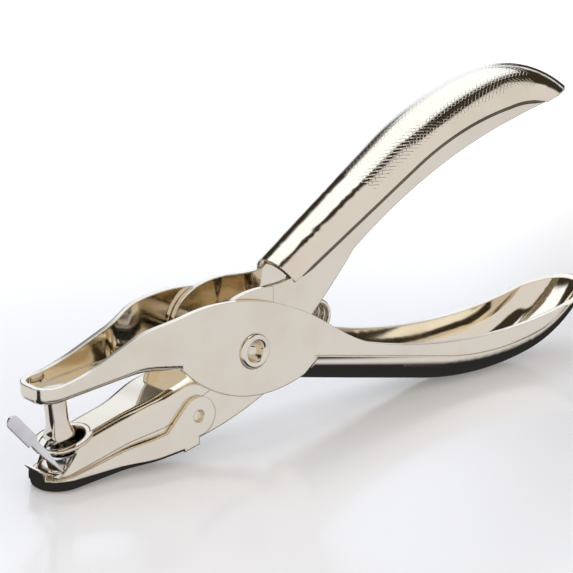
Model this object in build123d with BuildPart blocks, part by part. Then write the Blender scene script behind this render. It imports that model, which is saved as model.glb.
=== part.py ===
from build123d import *
import os
from math import acos, atan2, cos, degrees, hypot, radians, sin, sqrt, tan

# A single-hole plier punch of nickel-plated sheet steel. X runs from the jaws to the
# handles, Y is across the tool and Z is up. Outlines are measured from the pivot.

# The cut
HOLE_D = 6.0
DIE_CLEARANCE = 0.25
CLOSING_ANGLE = 8.0
DIE_ENTRY = 2.6

# Sheet metal
SHEET = 1.2
TRAY_SHEET = 0.8
CLIP_SHEET = 0.5
HUB_WIDTH = 16.0
SIDE_PLAY = 0.15
PUNCH_JAW_WIDTH = 10.8
DIE_JAW_WIDTH = 10.0
BEND_RADIUS = 1.4

# Upper jaw and hub of the punch lever
PUNCH_JAW_REACH = 47.8
PUNCH_NOSE_RADIUS = 4.2
JAW_TILT = 6.0
NOSE_RIM = 1.05
JAW_RIM = (-30.0, 5.7)
RIM_CREST = (-14.0, 10.8)
HUB_RIM = (15.0, 4.6)
HUB_RIM_FALL = -0.33
SHOULDER_FRONT = 27.0
SHOULDER_BACK = 16.5
THROAT = (-17.5, -0.5)
LOBE = (-1.5, -9.0)
LOBE_END = (13.0, -7.4)

# Lower jaw and hub of the die lever
DIE_JAW_REACH = 45.0
DIE_NOSE_RADIUS = 4.0
DIE_SHOULDER_FRONT = 30.0
DIE_SHOULDER_BACK = 20.0
DIE_HUB_RADIUS = 10.5
WEB_END = 24.0
DIE_NECK = (19.4, 6.5)
DIE_KEEL = (-10.0, -14.7)
DIE_SHOULDER = (3.0, 12.0)
DIE_SHOULDER_RISE = 0.2
HUB_RIGHT_ANGLE = 15.0
HUB_LOW_ANGLE = 70.0

# Handles, mirrored about a line that rises from the pivot; each is measured along and
# away from that line
BISECTOR = 10.9
CROWN_TOP = (75.1, 33.2)
GRIP_RADIUS = 72.8
ROOT_ANGLE = 23.0
ROOT_START = 12.5
TIP_RADIUS = 31.4
TIP_SWEEP = 60.0
GRIP_WIDTH = 17.3
DIE_ROOT_WIDTH = 10.9
CROWN_PROUD = 0.5
CROWN_HALF_ANGLE = 73.0
WALL_LAP = 0.2
RIM_TOP = (86.0, 23.8)
RIM_RADIUS = 124.0
PUNCH_RIM_JOIN = 30.0
DIE_RIM_JOIN = 30.0
DIE_TAPER_START = 6.0

# Pivot
RIVET_SHANK_D = 5.0
RIVET_HEAD_D = 7.4
RIVET_HEAD_HEIGHT = 0.85
RIVET_EYE_D = 3.8
RIVET_EYE_DEPTH = 2.0
RUNNING_FIT = 0.05
SLEEVE_WALL = 0.9

# Punch pin and die bush
PIN_REACH = 41.0
PIN_DROP = 10.1
PIN_LENGTH = 8.4
PIN_NECK_D = 4.4
PIN_LAND = 0.5
PIN_FLARE = 3.2
PIN_FLARE_SLOPE = 0.5
PIN_HEAD_D = 6.0
PIN_HEAD_HEIGHT = 0.5
DIE_WALL = 0.75
DIE_HEIGHT = 1.7
DIE_SPIGOT_WALL = 0.45

# Stripper clip
CLIP_LIFT = 3.4
EYE_CLEARANCE = 0.4
EYE_WALL = 1.6
CLIP_FOLD = 35.2
CLIP_WIDTH = 4.0
CLIP_FOOT_WIDTH = 9.0
CLIP_FOOT_FRONT = 44.4
CLIP_FOOT_BACK = 34.8
EAR_FOOT = 43.4
EAR_LEAN = 41.0
EAR_LENGTH = 17.2
EAR_NECK = 1.5
EAR_HEAD = 2.65
EAR_HEAD_LENGTH = 7.6

# Chip tray
TRAY_NOSE = 45.6
TRAY_BACK = 17.0
TRAY_SLOPE = 5.2
TRAY_WALL_FRONT = 2.1
TRAY_WALL_BACK = (-21.0, -12.5)
TRAY_HINGE = (-13.5, -10.6)
TRAY_EAR_RADIUS = 4.0
TRAY_EAR_ANGLE = 45.0
TRAY_PLAY = 0.12
TRAY_PIP_D = 3.4
TRAY_PIP_DEPTH = 1.0
TRAY_DIMPLE_D = 2.6
TRAY_DIMPLE_TAPER = 20.0
TRAY_FLOOR_GAP = 0.3
TRAY_NOSE_PLAY = 0.75
TRAY_SWING = 1.6
TRAY_BEND = 0.9
TRAY_TAB_HEIGHT = 3.6
TRAY_TAB_WIDTH = 5.0
TRAY_LIP = 0.9
TRAY_HOLE_D = 3.0
TRAY_HOLE_FIRST = 32.8
TRAY_HOLE_PITCH = 3.8
TRAY_HOLE_SPREAD = 2.1
TRAY_HOLE_COLUMNS = 4

# Return spring
SPRING_WIRE = 1.2
SPRING_RADIUS = 3.5
SPRING_PITCH = 1.8
SPRING_TURNS = 4
SPRING_CENTRE = (20.4, 1.6)
SPRING_LEG_END = 33.0
SPRING_SEAT_GAP = 0.25
QUARTER = 90.0
SPRING_SAMPLES = 400

# Worked out from the sizes above
HUB_HALF = HUB_WIDTH / 2
INNER_HALF = HUB_HALF - SHEET - SIDE_PLAY
DIE_ROOT_HALF = DIE_ROOT_WIDTH / 2
GRIP_HALF = GRIP_WIDTH / 2
TILT = radians(BISECTOR)
ROOT = radians(ROOT_ANGLE)
CLOSING = radians(CLOSING_ANGLE)
DIE_TILT = radians(JAW_TILT + CLOSING_ANGLE)
GRIP_START = (CROWN_TOP[0] - GRIP_RADIUS * sin(ROOT), CROWN_TOP[1] - GRIP_RADIUS * (1 - cos(ROOT)))
ROOT_RISE = GRIP_START[1] - (GRIP_START[0] - ROOT_START) * tan(ROOT)
RIM_CENTRE = (RIM_TOP[0], RIM_TOP[1] - RIM_RADIUS)
TIP_CENTRE = (CROWN_TOP[0], CROWN_TOP[1] - TIP_RADIUS)


def circle_crossing(first, first_radius, second, second_radius):
    """The crossing of two circles that lies furthest along the handle."""
    run, rise = second[0] - first[0], second[1] - first[1]
    span = hypot(run, rise)
    along = (first_radius**2 - second_radius**2 + span**2) / (2 * span)
    across = sqrt(first_radius**2 - along**2)
    return (
        first[0] + (along * run - across * rise) / span,
        first[1] + (along * rise + across * run) / span,
    )


def from_handle(side, along, away):
    """A point of a handle, measured from the pivot; side is 1 above and -1 below."""
    return (
        along * cos(TILT) - side * away * sin(TILT),
        along * sin(TILT) + side * away * cos(TILT),
    )


LOW_POINT = from_handle(
    -1,
    CROWN_TOP[0] - GRIP_RADIUS * sin(TILT),
    CROWN_TOP[1] - GRIP_RADIUS * (1 - cos(TILT)),
)
HANDLE_TIP = circle_crossing(TIP_CENTRE, TIP_RADIUS, RIM_CENTRE, RIM_RADIUS)
BACK_REACH = from_handle(-1, *HANDLE_TIP)[0]
FRONT_REACH = EAR_FOOT + (EAR_LENGTH - EAR_HEAD / 2) * sin(radians(EAR_LEAN)) + EAR_HEAD / 2
PIVOT = Vector((FRONT_REACH - BACK_REACH) / 2, 0, -LOW_POINT[1])

SIDE = Plane(origin=PIVOT, x_dir=(1, 0, 0), z_dir=(0, -1, 0))
PLAN = Plane(origin=PIVOT)
TALL = 2 * hypot(BACK_REACH, FRONT_REACH)

# Die place: the pin's axis and the die's axis are one line when the jaws are closed
PIN_CLOSED = (
    -PIN_REACH * cos(CLOSING) + PIN_DROP * sin(CLOSING),
    -PIN_REACH * sin(CLOSING) - PIN_DROP * cos(CLOSING),
)
DIE_TOP = (PIN_CLOSED[0] - DIE_ENTRY * sin(DIE_TILT), PIN_CLOSED[1] + DIE_ENTRY * cos(DIE_TILT))
DIE_SEAT = (DIE_TOP[0] + DIE_HEIGHT * sin(DIE_TILT), DIE_TOP[1] - DIE_HEIGHT * cos(DIE_TILT))
DIE_BORE = HOLE_D / 2 + DIE_CLEARANCE


def jaw_floor(x):
    """Height of the upper jaw's under face, which is square to the pin."""
    return PIN_LENGTH * cos(radians(JAW_TILT)) - PIN_DROP + (x + PIN_REACH) * tan(radians(JAW_TILT))


def die_web(x):
    """Height of the lower jaw's top face, which is square to the die."""
    return DIE_SEAT[1] + (x - DIE_SEAT[0]) * tan(DIE_TILT)


def tray_floor(x):
    """Height of the tray's under face, which rises to the back."""
    return LOW_POINT[1] + (x + TRAY_NOSE) * tan(radians(TRAY_SLOPE))


def rim_height(along):
    """Distance of a handle's rim from the bisector."""
    return RIM_CENTRE[1] + sqrt(RIM_RADIUS**2 - (along - RIM_CENTRE[0]) ** 2)


def handle_plane(side):
    """Plane of a handle, x along the bisector and y away from it."""
    return Plane(origin=PIVOT, x_dir=(cos(TILT), 0, sin(TILT)), z_dir=(0, -side, 0))


def tilted_plane(point, tilt):
    """Side plane at a point, with y along a tilted axis of turning."""
    origin = SIDE.from_local_coords(point)
    return Plane(origin=origin, x_dir=(cos(tilt), 0, sin(tilt)), z_dir=(0, -1, 0))


def crown_radius(half):
    """Outer radius of the arched crown over walls whose outer faces are half apart."""
    return (half + CROWN_PROUD) / sin(radians(CROWN_HALF_ANGLE))


def wall_depth(half):
    """Depth below the crown at which the flat side walls begin."""
    radius = crown_radius(half)
    return radius - sqrt(radius**2 - half**2) + WALL_LAP


def wall_start(half):
    """Where the flat side wall begins at the handle's root."""
    depth = wall_depth(half)
    return (ROOT_START + depth * sin(ROOT), ROOT_RISE - depth * cos(ROOT))


def width_at(along, root_half):
    """Half width of a handle, which flares from its root to the top of the crown."""
    share = (along - ROOT_START) / (CROWN_TOP[0] - ROOT_START)
    return root_half + (GRIP_HALF - root_half) * min(share, 1)


def handle_crown(side, root_half):
    """The arched back of a handle, one sheet thick, cut to a rim line."""
    plane = handle_plane(side)
    tip_turn = radians(TIP_SWEEP)
    tip_end = (TIP_CENTRE[0] + TIP_RADIUS * sin(tip_turn), TIP_CENTRE[1] + TIP_RADIUS * cos(tip_turn))
    stations = (
        ((ROOT_START, ROOT_RISE), ROOT, root_half),
        (GRIP_START, ROOT, width_at(GRIP_START[0], root_half)),
        (CROWN_TOP, 0, GRIP_HALF),
        (tip_end, -tip_turn, GRIP_HALF),
    )
    with BuildPart() as crown:
        for first, second in zip(stations, stations[1:]):
            with BuildLine(plane) as stretch:
                if first[1] == second[1]:
                    Line(first[0], second[0])
                else:
                    bend = GRIP_RADIUS if first[1] > 0 else TIP_RADIUS
                    heading = (cos(first[1]), sin(first[1]))
                    JernArc(first[0], heading, bend, degrees(second[1] - first[1]))
            for place, angle, half in (first, second):
                radius = crown_radius(half)
                heading = plane.x_dir * cos(angle) + plane.y_dir * sin(angle)
                origin = plane.from_local_coords(place)
                with BuildSketch(Plane(origin=origin, x_dir=(0, side, 0), z_dir=heading)):
                    with BuildLine():
                        start = 90 - CROWN_HALF_ANGLE
                        outer = CenterArc((0, -radius), radius, start, 2 * CROWN_HALF_ANGLE)
                        inner = CenterArc((0, -radius), radius - SHEET, start, 2 * CROWN_HALF_ANGLE)
                        Line(outer @ 0, inner @ 0)
                        Line(outer @ 1, inner @ 1)
                    make_face()
            sweep(path=stretch.line, multisection=True)
        with BuildSketch(plane):
            with Locations(RIM_CENTRE):
                Circle(RIM_RADIUS)
        extrude(amount=2 * GRIP_HALF, both=True, mode=Mode.SUBTRACT)
    return crown.part


def wall_strip(root_half):
    """Side outline of a handle's flat walls, from the crown's edge to the rim."""
    root_depth = wall_depth(root_half)
    grip_depth = wall_depth(width_at(GRIP_START[0], root_half))
    top_depth = wall_depth(GRIP_HALF)
    with BuildSketch() as strip:
        with BuildLine():
            root = (ROOT_START + root_depth * sin(ROOT), ROOT_RISE - root_depth * cos(ROOT))
            grip = (GRIP_START[0] + grip_depth * sin(ROOT), GRIP_START[1] - grip_depth * cos(ROOT))
            top = (CROWN_TOP[0], CROWN_TOP[1] - top_depth)
            Line(root, grip)
            Spline(grip, top, tangents=[(cos(ROOT), sin(ROOT)), (1, 0)])
            tip = JernArc(top, (1, 0), TIP_RADIUS - top_depth, -TIP_SWEEP)
            Line(tip @ 1, TIP_CENTRE)
            Line(TIP_CENTRE, (root[0], TIP_CENTRE[1]))
            Line((root[0], TIP_CENTRE[1]), root)
        make_face()
        with Locations(RIM_CENTRE):
            Circle(RIM_RADIUS, mode=Mode.SUBTRACT)
    return strip.sketch


def handle_plan(hub_half, root_half, taper_start, sheet):
    """Both walls of a handle seen along its height, from the hub to past the tip."""
    end = CROWN_TOP[0] + 2 * TIP_RADIUS
    with BuildSketch() as walls:
        with BuildLine():
            outer = Polyline(
                (0, hub_half),
                (taper_start, hub_half),
                (ROOT_START, root_half),
                (CROWN_TOP[0], GRIP_HALF),
                (end, GRIP_HALF),
            )
            inner = Polyline(
                (0, hub_half - sheet),
                (taper_start, hub_half - sheet),
                (ROOT_START, root_half - sheet),
                (CROWN_TOP[0], GRIP_HALF - sheet),
                (end, GRIP_HALF - sheet),
            )
            Line(outer @ 0, inner @ 0)
            Line(outer @ 1, inner @ 1)
        make_face()
        mirror(about=Plane.XZ)
    return walls.sketch


def plan_face(reach, nose_radius, jaw_half, hub_half, front, back, end):
    """Outline seen from above: a rounded nose that widens at the shoulders to the hub."""
    with BuildSketch(PLAN) as face:
        with BuildLine():
            Line((-reach, 0), (-reach, jaw_half - nose_radius))
            CenterArc((nose_radius - reach, jaw_half - nose_radius), nose_radius, 90, 90)
            Line((nose_radius - reach, jaw_half), (-front, jaw_half))
            Spline((-front, jaw_half), (-back, hub_half), tangents=[(1, 0), (1, 0)])
            Line((-back, hub_half), (end, hub_half))
            Line((end, hub_half), (end, 0))
            mirror(about=Plane.XZ)
        make_face()
    return face.sketch


def plan_ring(reach, nose_radius, jaw_half, hub_half, front, back, end, sheet):
    """The same outline as a wall one sheet thick, open at the handles' end."""
    outer = plan_face(reach, nose_radius, jaw_half, hub_half, front, back, end)
    inner = plan_face(
        reach - sheet,
        nose_radius - sheet,
        jaw_half - sheet,
        hub_half - sheet,
        front,
        back,
        end + sheet,
    )
    return outer - inner


def handle_space(side):
    """Plane along the handle and across the tool, for cuts through the handle's height."""
    return Plane(origin=PIVOT, x_dir=(cos(TILT), 0, sin(TILT)), z_dir=handle_plane(side).y_dir)


def hub_point(angle):
    """A point on the die lever's round hub, by its angle below the X axis."""
    return (DIE_HUB_RADIUS * cos(radians(angle)), -DIE_HUB_RADIUS * sin(radians(angle)))


def floor_nose(lift):
    """The upper jaw's under face at the nose, raised by a lift."""
    return (-PUNCH_JAW_REACH, jaw_floor(-PUNCH_JAW_REACH) + lift)


def floor_line(lift):
    """The upper jaw's under face from nose to throat, raised by a lift."""
    shoulder = (-SHOULDER_FRONT, jaw_floor(-SHOULDER_FRONT) + lift)
    slope = (cos(radians(JAW_TILT)), sin(radians(JAW_TILT)))
    Line(floor_nose(lift), shoulder)
    TangentArc(shoulder, (THROAT[0], THROAT[1] + lift), tangent=slope)


def jaw_bends(edges):
    """The edges where a jaw's flat face bends into its walls and nose."""
    lengthwise = edges.filter_by(lambda edge: abs((edge % 0.5).Y) < cos(TILT))
    ends = edges.filter_by(lambda edge: abs((edge % 0.5).Y) >= cos(TILT))
    return lengthwise + ends.sort_by(Axis.X)[:1]


punch_crown = handle_crown(-1, HUB_HALF)
die_crown = handle_crown(1, DIE_ROOT_HALF)

punch_plan = (
    PUNCH_JAW_REACH,
    PUNCH_NOSE_RADIUS,
    PUNCH_JAW_WIDTH / 2,
    HUB_HALF,
    SHOULDER_FRONT,
    SHOULDER_BACK,
)
die_plan = (
    DIE_JAW_REACH,
    DIE_NOSE_RADIUS,
    DIE_JAW_WIDTH / 2,
    INNER_HALF,
    DIE_SHOULDER_FRONT,
    DIE_SHOULDER_BACK,
)

# Punch lever: upper jaw, outer hub plates and lower handle
with BuildPart() as punch_jaw_floor:
    with BuildSketch(SIDE):
        with BuildLine():
            floor_line(0)
            floor_line(SHEET)
            Line(floor_nose(0), floor_nose(SHEET))
            Line(THROAT, (THROAT[0], THROAT[1] + SHEET))
        make_face()
    extrude(amount=HUB_HALF, both=True)
    extrude(plan_face(*punch_plan, TALL), amount=TALL, both=True, mode=Mode.INTERSECT)

with BuildPart() as punch_bends:
    with BuildSketch(SIDE):
        with BuildLine():
            floor_line(0)
            Line(floor_nose(0), floor_nose(TALL))
            Line(floor_nose(TALL), (THROAT[0], floor_nose(TALL)[1]))
            Line((THROAT[0], floor_nose(TALL)[1]), THROAT)
        make_face()
    extrude(amount=HUB_HALF, both=True)
    extrude(plan_face(*punch_plan, TALL), amount=TALL, both=True, mode=Mode.INTERSECT)
    under = punch_bends.faces().filter_by(lambda face: face.normal_at().Z < -cos(ROOT))
    fillet(jaw_bends(under.edges()), BEND_RADIUS)
    with BuildSketch(SIDE):
        with Locations((THROAT[0], 0)):
            Rectangle(TALL, 2 * TALL, align=(Align.MIN, Align.CENTER))
    extrude(amount=HUB_WIDTH, both=True)

with BuildPart() as punch_sheet:
    extrude(plan_ring(*punch_plan, ROOT_START, SHEET), amount=TALL, both=True)
    with BuildSketch(handle_space(-1)):
        add(handle_plan(HUB_HALF, HUB_HALF, DIE_TAPER_START, SHEET))
    extrude(amount=TALL, both=True)

with BuildPart() as punch_lever:
    with BuildSketch(SIDE):
        with BuildLine():
            rim_join = from_handle(-1, PUNCH_RIM_JOIN, rim_height(PUNCH_RIM_JOIN))
            wall_root = wall_start(HUB_HALF)
            wall_join = (PUNCH_RIM_JOIN, wall_root[1] + (PUNCH_RIM_JOIN - wall_root[0]) * tan(ROOT) - SHEET)
            root_join = from_handle(-1, *wall_root)
            nose_top = (-PUNCH_JAW_REACH, NOSE_RIM)
            Spline(nose_top, JAW_RIM, RIM_CREST, HUB_RIM, rim_join, tangents=[(1, 0), (1, HUB_RIM_FALL)])
            Line(rim_join, from_handle(-1, *wall_join))
            Line(from_handle(-1, *wall_join), root_join)
            Line(root_join, LOBE_END)
            ThreePointArc(LOBE_END, LOBE, THROAT)
            floor_line(0)
            Line(floor_nose(0), nose_top)
        make_face()
    extrude(amount=GRIP_WIDTH, both=True)
    with BuildSketch(handle_plane(-1)):
        add(wall_strip(HUB_HALF))
    extrude(amount=GRIP_WIDTH, both=True)
    add(punch_sheet.part, mode=Mode.INTERSECT)
    add(punch_jaw_floor.part)
    add(punch_bends.part, mode=Mode.INTERSECT)
    add(punch_crown)
    with BuildSketch(SIDE):
        Circle(RIVET_SHANK_D / 2)
    extrude(amount=TALL, both=True, mode=Mode.SUBTRACT)
    pin_plane = tilted_plane((-PIN_REACH, -PIN_DROP), radians(JAW_TILT))
    with BuildSketch(Plane(origin=pin_plane.origin, x_dir=pin_plane.x_dir, z_dir=pin_plane.y_dir)):
        Circle(PIN_NECK_D / 2)
    extrude(amount=PIN_LENGTH + 2 * SHEET, mode=Mode.SUBTRACT)
punch_lever.part.label = "punch_lever"

# Die lever: lower jaw, inner hub plates and upper handle
with BuildPart() as die_jaw_web:
    with BuildSketch(SIDE):
        Polygon(
            (-DIE_JAW_REACH, die_web(-DIE_JAW_REACH)),
            (-WEB_END, die_web(-WEB_END)),
            (-WEB_END, die_web(-WEB_END) - SHEET),
            (-DIE_JAW_REACH, die_web(-DIE_JAW_REACH) - SHEET),
            align=None,
        )
    extrude(amount=HUB_HALF, both=True)
    extrude(plan_face(*die_plan, TALL), amount=TALL, both=True, mode=Mode.INTERSECT)

with BuildPart() as die_bends:
    with BuildSketch(SIDE):
        Polygon(
            (-DIE_JAW_REACH, die_web(-DIE_JAW_REACH)),
            (-WEB_END, die_web(-WEB_END)),
            (-WEB_END, -TALL),
            (-DIE_JAW_REACH, -TALL),
            align=None,
        )
    extrude(amount=HUB_HALF, both=True)
    extrude(plan_face(*die_plan, TALL), amount=TALL, both=True, mode=Mode.INTERSECT)
    over = die_bends.faces().filter_by(lambda face: face.normal_at().Z > cos(ROOT))
    fillet(jaw_bends(over.edges()), BEND_RADIUS)
    with BuildSketch(SIDE):
        with Locations((-WEB_END, 0)):
            Rectangle(TALL, 2 * TALL, align=(Align.MIN, Align.CENTER))
    extrude(amount=HUB_WIDTH, both=True)

with BuildPart() as die_sheet:
    extrude(plan_ring(*die_plan, DIE_TAPER_START, SHEET), amount=TALL, both=True)
    with BuildSketch(handle_space(1)):
        add(handle_plan(INNER_HALF, DIE_ROOT_HALF, DIE_TAPER_START, SHEET))
    extrude(amount=TALL, both=True)

with BuildPart() as die_lever:
    with BuildSketch(SIDE):
        with BuildLine():
            rim_join = from_handle(1, DIE_RIM_JOIN, rim_height(DIE_RIM_JOIN))
            wall_root = wall_start(DIE_ROOT_HALF)
            wall_join = (DIE_RIM_JOIN, wall_root[1] + (DIE_RIM_JOIN - wall_root[0]) * tan(ROOT) - SHEET)
            root_join = from_handle(1, *wall_root)
            hub_left = (-DIE_HUB_RADIUS, 0)
            hub_right = hub_point(HUB_RIGHT_ANGLE)
            hub_low = hub_point(HUB_LOW_ANGLE)
            web_end = (-WEB_END, die_web(-WEB_END))
            wall_low = (-DIE_JAW_REACH, tray_floor(-DIE_JAW_REACH) + TRAY_SHEET + TRAY_FLOOR_GAP)
            keel_front = (-TRAY_BACK, tray_floor(-TRAY_BACK) + TRAY_SHEET + TRAY_FLOOR_GAP)
            Line(wall_low, (-DIE_JAW_REACH, die_web(-DIE_JAW_REACH)))
            Line((-DIE_JAW_REACH, die_web(-DIE_JAW_REACH)), web_end)
            Spline(web_end, hub_left, tangents=[(cos(DIE_TILT), sin(DIE_TILT)), (0, 1)])
            Spline(hub_left, DIE_SHOULDER, root_join, tangents=[(0, 1), (1, DIE_SHOULDER_RISE)])
            Line(root_join, from_handle(1, *wall_join))
            Line(from_handle(1, *wall_join), rim_join)
            Spline(rim_join, DIE_NECK, hub_right)
            ThreePointArc(hub_right, hub_point((HUB_RIGHT_ANGLE + HUB_LOW_ANGLE) / 2), hub_low)
            Spline(hub_low, DIE_KEEL, keel_front)
            Line(keel_front, wall_low)
        make_face()
    extrude(amount=GRIP_WIDTH, both=True)
    with BuildSketch(handle_plane(1)):
        add(wall_strip(DIE_ROOT_HALF))
    extrude(amount=GRIP_WIDTH, both=True)
    add(die_sheet.part, mode=Mode.INTERSECT)
    add(die_jaw_web.part)
    add(die_bends.part, mode=Mode.INTERSECT)
    add(die_crown)
    with BuildSketch(SIDE):
        Circle(RIVET_SHANK_D / 2 + RUNNING_FIT)
        with Locations(TRAY_HINGE):
            Circle(TRAY_PIP_D / 2 + RUNNING_FIT)
    extrude(amount=TALL, both=True, mode=Mode.SUBTRACT)
    die_plane = tilted_plane(DIE_TOP, DIE_TILT)
    with BuildSketch(Plane(origin=die_plane.origin, x_dir=die_plane.x_dir, z_dir=-die_plane.y_dir)):
        Circle(DIE_BORE + DIE_SPIGOT_WALL)
    extrude(amount=DIE_HEIGHT + 2 * SHEET, mode=Mode.SUBTRACT)
die_lever.part.label = "die_lever"

# Pivot rivet: a shank with a rolled ring and a conical eye at each end
with BuildPart() as pivot_rivet:
    with BuildSketch(Plane(origin=PIVOT)):
        with BuildLine():
            top = HUB_HALF + RIVET_HEAD_HEIGHT
            roll = RIVET_HEAD_HEIGHT / 2
            Polyline(
                (0, 0),
                (0, top - RIVET_EYE_DEPTH),
                (RIVET_EYE_D / 4, top - RIVET_EYE_DEPTH),
                (RIVET_EYE_D / 2, top),
                (RIVET_HEAD_D / 2 - roll, top),
            )
            CenterArc((RIVET_HEAD_D / 2 - roll, top - roll), roll, 0, 90)
            Polyline(
                (RIVET_HEAD_D / 2, top - roll),
                (RIVET_HEAD_D / 2, HUB_HALF),
                (RIVET_SHANK_D / 2, HUB_HALF),
                (RIVET_SHANK_D / 2, 0),
                (0, 0),
            )
        make_face()
    revolve(axis=Axis(PIVOT, (0, 1, 0)))
    mirror(about=Plane.XZ)
pivot_rivet.part.label = "pivot_rivet"

# Pivot sleeve: keeps the inner plates apart on the rivet
with BuildPart() as pivot_sleeve:
    with BuildSketch(SIDE):
        Circle(RIVET_SHANK_D / 2 + RUNNING_FIT + SLEEVE_WALL)
        Circle(RIVET_SHANK_D / 2 + RUNNING_FIT, mode=Mode.SUBTRACT)
    extrude(amount=INNER_HALF - SHEET, both=True)
pivot_sleeve.part.label = "pivot_sleeve"

# Punch pin: turned, flared to the cutting edge and peened over the jaw's floor
with BuildPart() as punch_pin:
    with BuildSketch(pin_plane):
        with BuildLine():
            neck = PIN_NECK_D / 2
            edge = HOLE_D / 2
            flare_top = PIN_LAND + PIN_FLARE
            seat = PIN_LENGTH + SHEET * cos(radians(JAW_TILT))
            Polyline((0, seat + PIN_HEAD_HEIGHT), (0, 0), (edge, 0), (edge, PIN_LAND))
            Spline((edge, PIN_LAND), (neck, flare_top), tangents=[(-PIN_FLARE_SLOPE, 1), (0, 1)])
            Polyline(
                (neck, flare_top),
                (neck, seat),
                (PIN_HEAD_D / 2, seat),
                (PIN_HEAD_D / 2 - PIN_HEAD_HEIGHT / 2, seat + PIN_HEAD_HEIGHT),
                (0, seat + PIN_HEAD_HEIGHT),
            )
        make_face()
    revolve(axis=Axis(pin_plane.origin, pin_plane.y_dir))
punch_pin.part.label = "punch_pin"

# Die bush: a hard collar whose spigot is pressed into the lower jaw
with BuildPart() as die_bush:
    with BuildSketch(die_plane):
        Polygon(
            (DIE_BORE, 0),
            (DIE_BORE + DIE_WALL, 0),
            (DIE_BORE + DIE_WALL, -DIE_HEIGHT),
            (DIE_BORE + DIE_SPIGOT_WALL, -DIE_HEIGHT),
            (DIE_BORE + DIE_SPIGOT_WALL, -DIE_HEIGHT - SHEET),
            (DIE_BORE, -DIE_HEIGHT - SHEET),
            align=None,
        )
    revolve(axis=Axis(die_plane.origin, die_plane.y_dir))
die_bush.part.label = "die_bush"

# Stripper clip: a hairpin of spring steel round the die, with an eye and a front ear
clip_rise = CLIP_SHEET / 2 / cos(DIE_TILT)
leaf_height = DIE_TOP[1] + CLIP_LIFT
fold_start = (-CLIP_FOLD, die_web(-CLIP_FOLD) + clip_rise)
fold_radius = (leaf_height - fold_start[1]) / (1 + cos(DIE_TILT))
leaf_start = (fold_start[0] - fold_radius * sin(DIE_TILT), leaf_height)
eye_bore = HOLE_D / 2 + EYE_CLEARANCE
eye_x = (DIE_TOP[0] - CLIP_LIFT * tan(DIE_TILT) - PIN_REACH) / 2
die_seat = SIDE.from_local_coords(DIE_SEAT)
with BuildPart() as stripper_clip:
    with BuildSketch(SIDE):
        with BuildLine():
            Line((DIE_SEAT[0], die_web(DIE_SEAT[0]) + clip_rise), fold_start)
            JernArc(fold_start, (cos(DIE_TILT), sin(DIE_TILT)), fold_radius, 180 - degrees(DIE_TILT))
            Line(leaf_start, (eye_x, leaf_height))
        trace(line_width=CLIP_SHEET)
    extrude(amount=CLIP_WIDTH / 2, both=True)
    with BuildSketch(PLAN.offset(leaf_height - CLIP_SHEET / 2)):
        with Locations((eye_x, 0)):
            Circle(eye_bore + EYE_WALL)
    extrude(amount=CLIP_SHEET)
    with BuildSketch(Plane(origin=die_seat, x_dir=die_plane.x_dir, z_dir=die_plane.y_dir)):
        foot_front = (DIE_SEAT[0] + CLIP_FOOT_FRONT) / cos(DIE_TILT)
        foot_back = -(DIE_SEAT[0] + CLIP_FOOT_BACK) / cos(DIE_TILT)
        with Locations(((foot_back - foot_front) / 2, 0)):
            RectangleRounded(foot_front + foot_back, CLIP_FOOT_WIDTH, CLIP_FOOT_WIDTH / 4)
    extrude(amount=CLIP_SHEET)
    with BuildSketch(PLAN.offset(leaf_height - CLIP_SHEET)):
        with Locations((eye_x, 0)):
            Circle(eye_bore)
    extrude(amount=2 * CLIP_SHEET, mode=Mode.SUBTRACT)
    with BuildSketch(Plane(origin=die_plane.origin, x_dir=die_plane.x_dir, z_dir=-die_plane.y_dir)):
        Circle(DIE_BORE + DIE_WALL + RUNNING_FIT)
    extrude(amount=DIE_HEIGHT + CLIP_SHEET, mode=Mode.SUBTRACT)
    ear_foot = SIDE.from_local_coords((-EAR_FOOT, die_web(-EAR_FOOT) + clip_rise))
    ear_lean = radians(EAR_LEAN)
    ear_plane = Plane(origin=ear_foot, x_dir=(cos(ear_lean), 0, sin(ear_lean)), z_dir=(0, -1, 0))
    with BuildSketch(ear_plane.offset(CLIP_FOOT_WIDTH / 2 - CLIP_SHEET)):
        with Locations((0, (EAR_LENGTH - EAR_HEAD) / 2)):
            Rectangle(EAR_NECK, EAR_LENGTH - EAR_HEAD)
        with Locations((0, EAR_LENGTH - EAR_HEAD_LENGTH / 2)):
            SlotOverall(EAR_HEAD_LENGTH, EAR_HEAD, rotation=90)
    extrude(amount=CLIP_SHEET)
stripper_clip.part.label = "stripper_clip"

# Chip tray: a cover under the lower jaw that snaps and turns on two inward pips
tray_inner = (
    DIE_JAW_REACH + TRAY_NOSE_PLAY,
    DIE_NOSE_RADIUS + TRAY_NOSE_PLAY,
    DIE_JAW_WIDTH / 2 + TRAY_PLAY,
    INNER_HALF + TRAY_PLAY,
)
tray_shoulders = (DIE_SHOULDER_FRONT + TRAY_SWING, DIE_SHOULDER_BACK + TRAY_SWING)
tray_plan = tuple(size + TRAY_SHEET for size in tray_inner) + tray_shoulders
tray_front = tray_plan[0]
with BuildPart() as tray_floor_plate:
    with BuildSketch(SIDE):
        Polygon(
            (-tray_front, tray_floor(-tray_front)),
            (-TRAY_BACK, tray_floor(-TRAY_BACK)),
            (-TRAY_BACK, tray_floor(-TRAY_BACK) + TRAY_SHEET),
            (-tray_front, tray_floor(-tray_front) + TRAY_SHEET),
            align=None,
        )
    extrude(amount=HUB_HALF, both=True)
    extrude(plan_face(*tray_plan, TALL), amount=TALL, both=True, mode=Mode.INTERSECT)

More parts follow.
